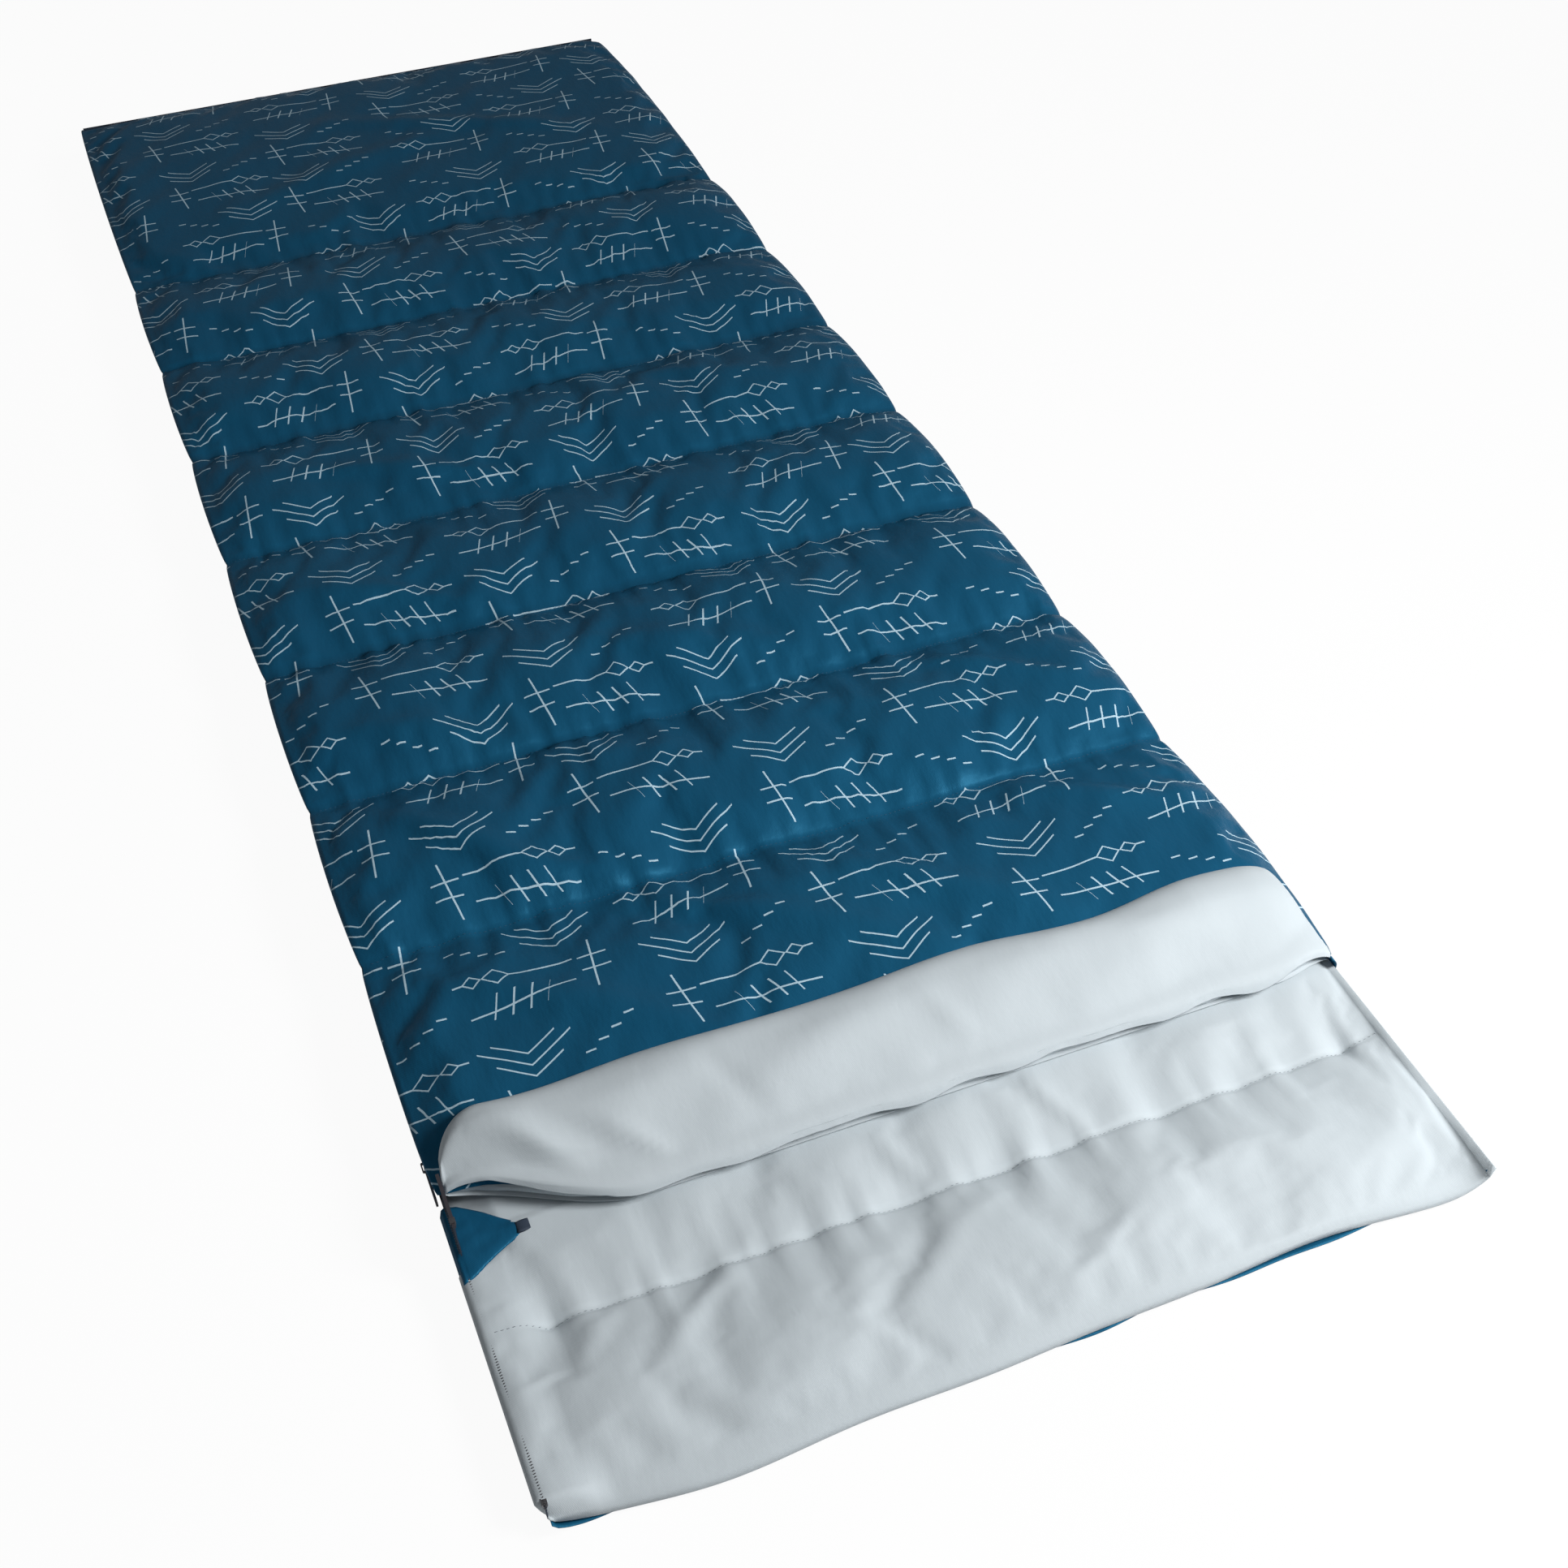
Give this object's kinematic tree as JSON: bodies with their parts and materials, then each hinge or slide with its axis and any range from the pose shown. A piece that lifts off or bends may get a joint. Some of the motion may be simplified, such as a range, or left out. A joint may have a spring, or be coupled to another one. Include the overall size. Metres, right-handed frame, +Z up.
{
  "type": "rectangular sleeping bag",
  "caption": "Rectangular quilted sleeping bag lying flat, zipped down one side and across the foot, with its cover rolled back into a lined cuff at the head.",
  "frame": {"origin": "on the floor under the middle of the base, halfway between head hem and foot hem", "axes": "+X towards the closed side (the zip side is -X), +Y from head to foot, +Z up"},
  "size_m": [0.7582, 2.2028, 0.0822],
  "materials": {
    "shell": "slightly glossy blue polyester with a thin pale line print",
    "lining": "soft pale grey polyester",
    "wadding": "white hollow-fibre wadding",
    "tape": "dark woven zip tape",
    "coil": "nylon coil",
    "zip_metal": "die-cast, satin",
    "pull_metal": "die-cast, satin"
  },
  "bodies": {
    "base": {"base_shell": "shell", "base_fill": "wadding", "base_lining": "lining", "base_zip_tape": "tape", "base_zip_coil": "coil", "base_top_stop": "zip_metal", "foot_stop": "zip_metal", "corner_flap": "shell", "flap_tab": "tape"},
    "cover": {"cover_shell": "shell", "cover_fill": "wadding", "cover_lining": "lining", "cover_zip_tape": "tape", "cover_zip_coil": "coil", "draught_baffle": "lining"},
    "cuff": {"cuff_lining": "lining", "cuff_upper_fill": "wadding", "cuff_shell": "shell", "cuff_lower_fill": "wadding", "cuff_under_lining": "lining", "cuff_zip_tape": "tape", "cuff_zip_coil": "coil", "cover_top_stop": "zip_metal"},
    "slider": {"slider_body": "zip_metal", "outer_bridge": "zip_metal", "inner_bridge": "zip_metal"},
    "outer_tab": {"outer_pull": "pull_metal"},
    "inner_tab": {"inner_pull": "pull_metal"}
  },
  "joints": [
    {"name": "cover_hinge", "type": "hinge", "parent": "base", "child": "cover", "pos_m": [0.3752, 0, 0.03], "axis": [0, 1, 0], "range_deg": [0, 180]},
    {"name": "cuff_fold", "type": "hinge", "parent": "cover", "child": "cuff", "pos_m": [0, -0.881, 0.0565], "axis": [1, 0, 0], "range_deg": [0, 180]},
    {"name": "slider_travel", "type": "slide", "parent": "base", "child": "slider", "axis": [0, 1, 0], "range_m": [0, 1.86]},
    {"name": "outer_pull_turn", "type": "hinge", "parent": "slider", "child": "outer_tab", "pos_m": [-0.38065, -0.79, 0.03], "axis": [0, 0, -1], "range_deg": [0, 180]},
    {"name": "inner_pull_turn", "type": "hinge", "parent": "slider", "child": "inner_tab", "pos_m": [-0.37105, -0.79, 0.03], "axis": [0, 0, -1], "range_deg": [0, 180]}
  ]
}
